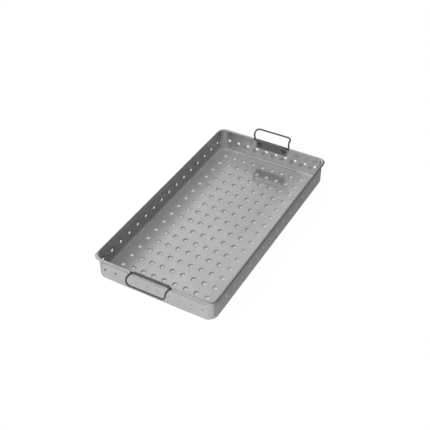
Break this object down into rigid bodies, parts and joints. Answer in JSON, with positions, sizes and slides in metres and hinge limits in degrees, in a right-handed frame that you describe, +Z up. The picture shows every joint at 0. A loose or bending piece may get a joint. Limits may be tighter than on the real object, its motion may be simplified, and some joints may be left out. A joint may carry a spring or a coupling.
{
  "type": "perforated instrument tray",
  "caption": "Shallow rectangular steel tray with perforated floor and walls, rolled rim and a folding wire handle hinged at each end.",
  "frame": {"origin": "centre of the tray's outline, on the underside of the floor", "axes": "+Z up, out of the tray's mouth; Y along the long side, from the near handle (-Y) to the far handle (+Y); X across the short side"},
  "size_m": [0.21, 0.423, 0.0609],
  "materials": {
    "pan_steel": "satin electropolished stainless steel sheet",
    "plate_steel": "satin stainless steel strip, spot-welded",
    "wire_steel": "polished drawn stainless steel wire"
  },
  "bodies": {
    "pan": {"tray_pan": "pan_steel", "hinge_plate_near": "plate_steel", "hinge_plate_far": "plate_steel"},
    "near_handle": {"handle_near": "wire_steel"},
    "far_handle": {"handle_far": "wire_steel"}
  },
  "joints": [
    {"name": "near_handle_hinge", "type": "hinge", "parent": "pan", "child": "near_handle", "pos_m": [0, -0.19706, 0.0404], "axis": [-1, 0, 0], "range_deg": [0, 145]},
    {"name": "far_handle_hinge", "type": "hinge", "parent": "pan", "child": "far_handle", "pos_m": [0, 0.19706, 0.0404], "axis": [1, 0, 0], "range_deg": [-94, 51]}
  ]
}
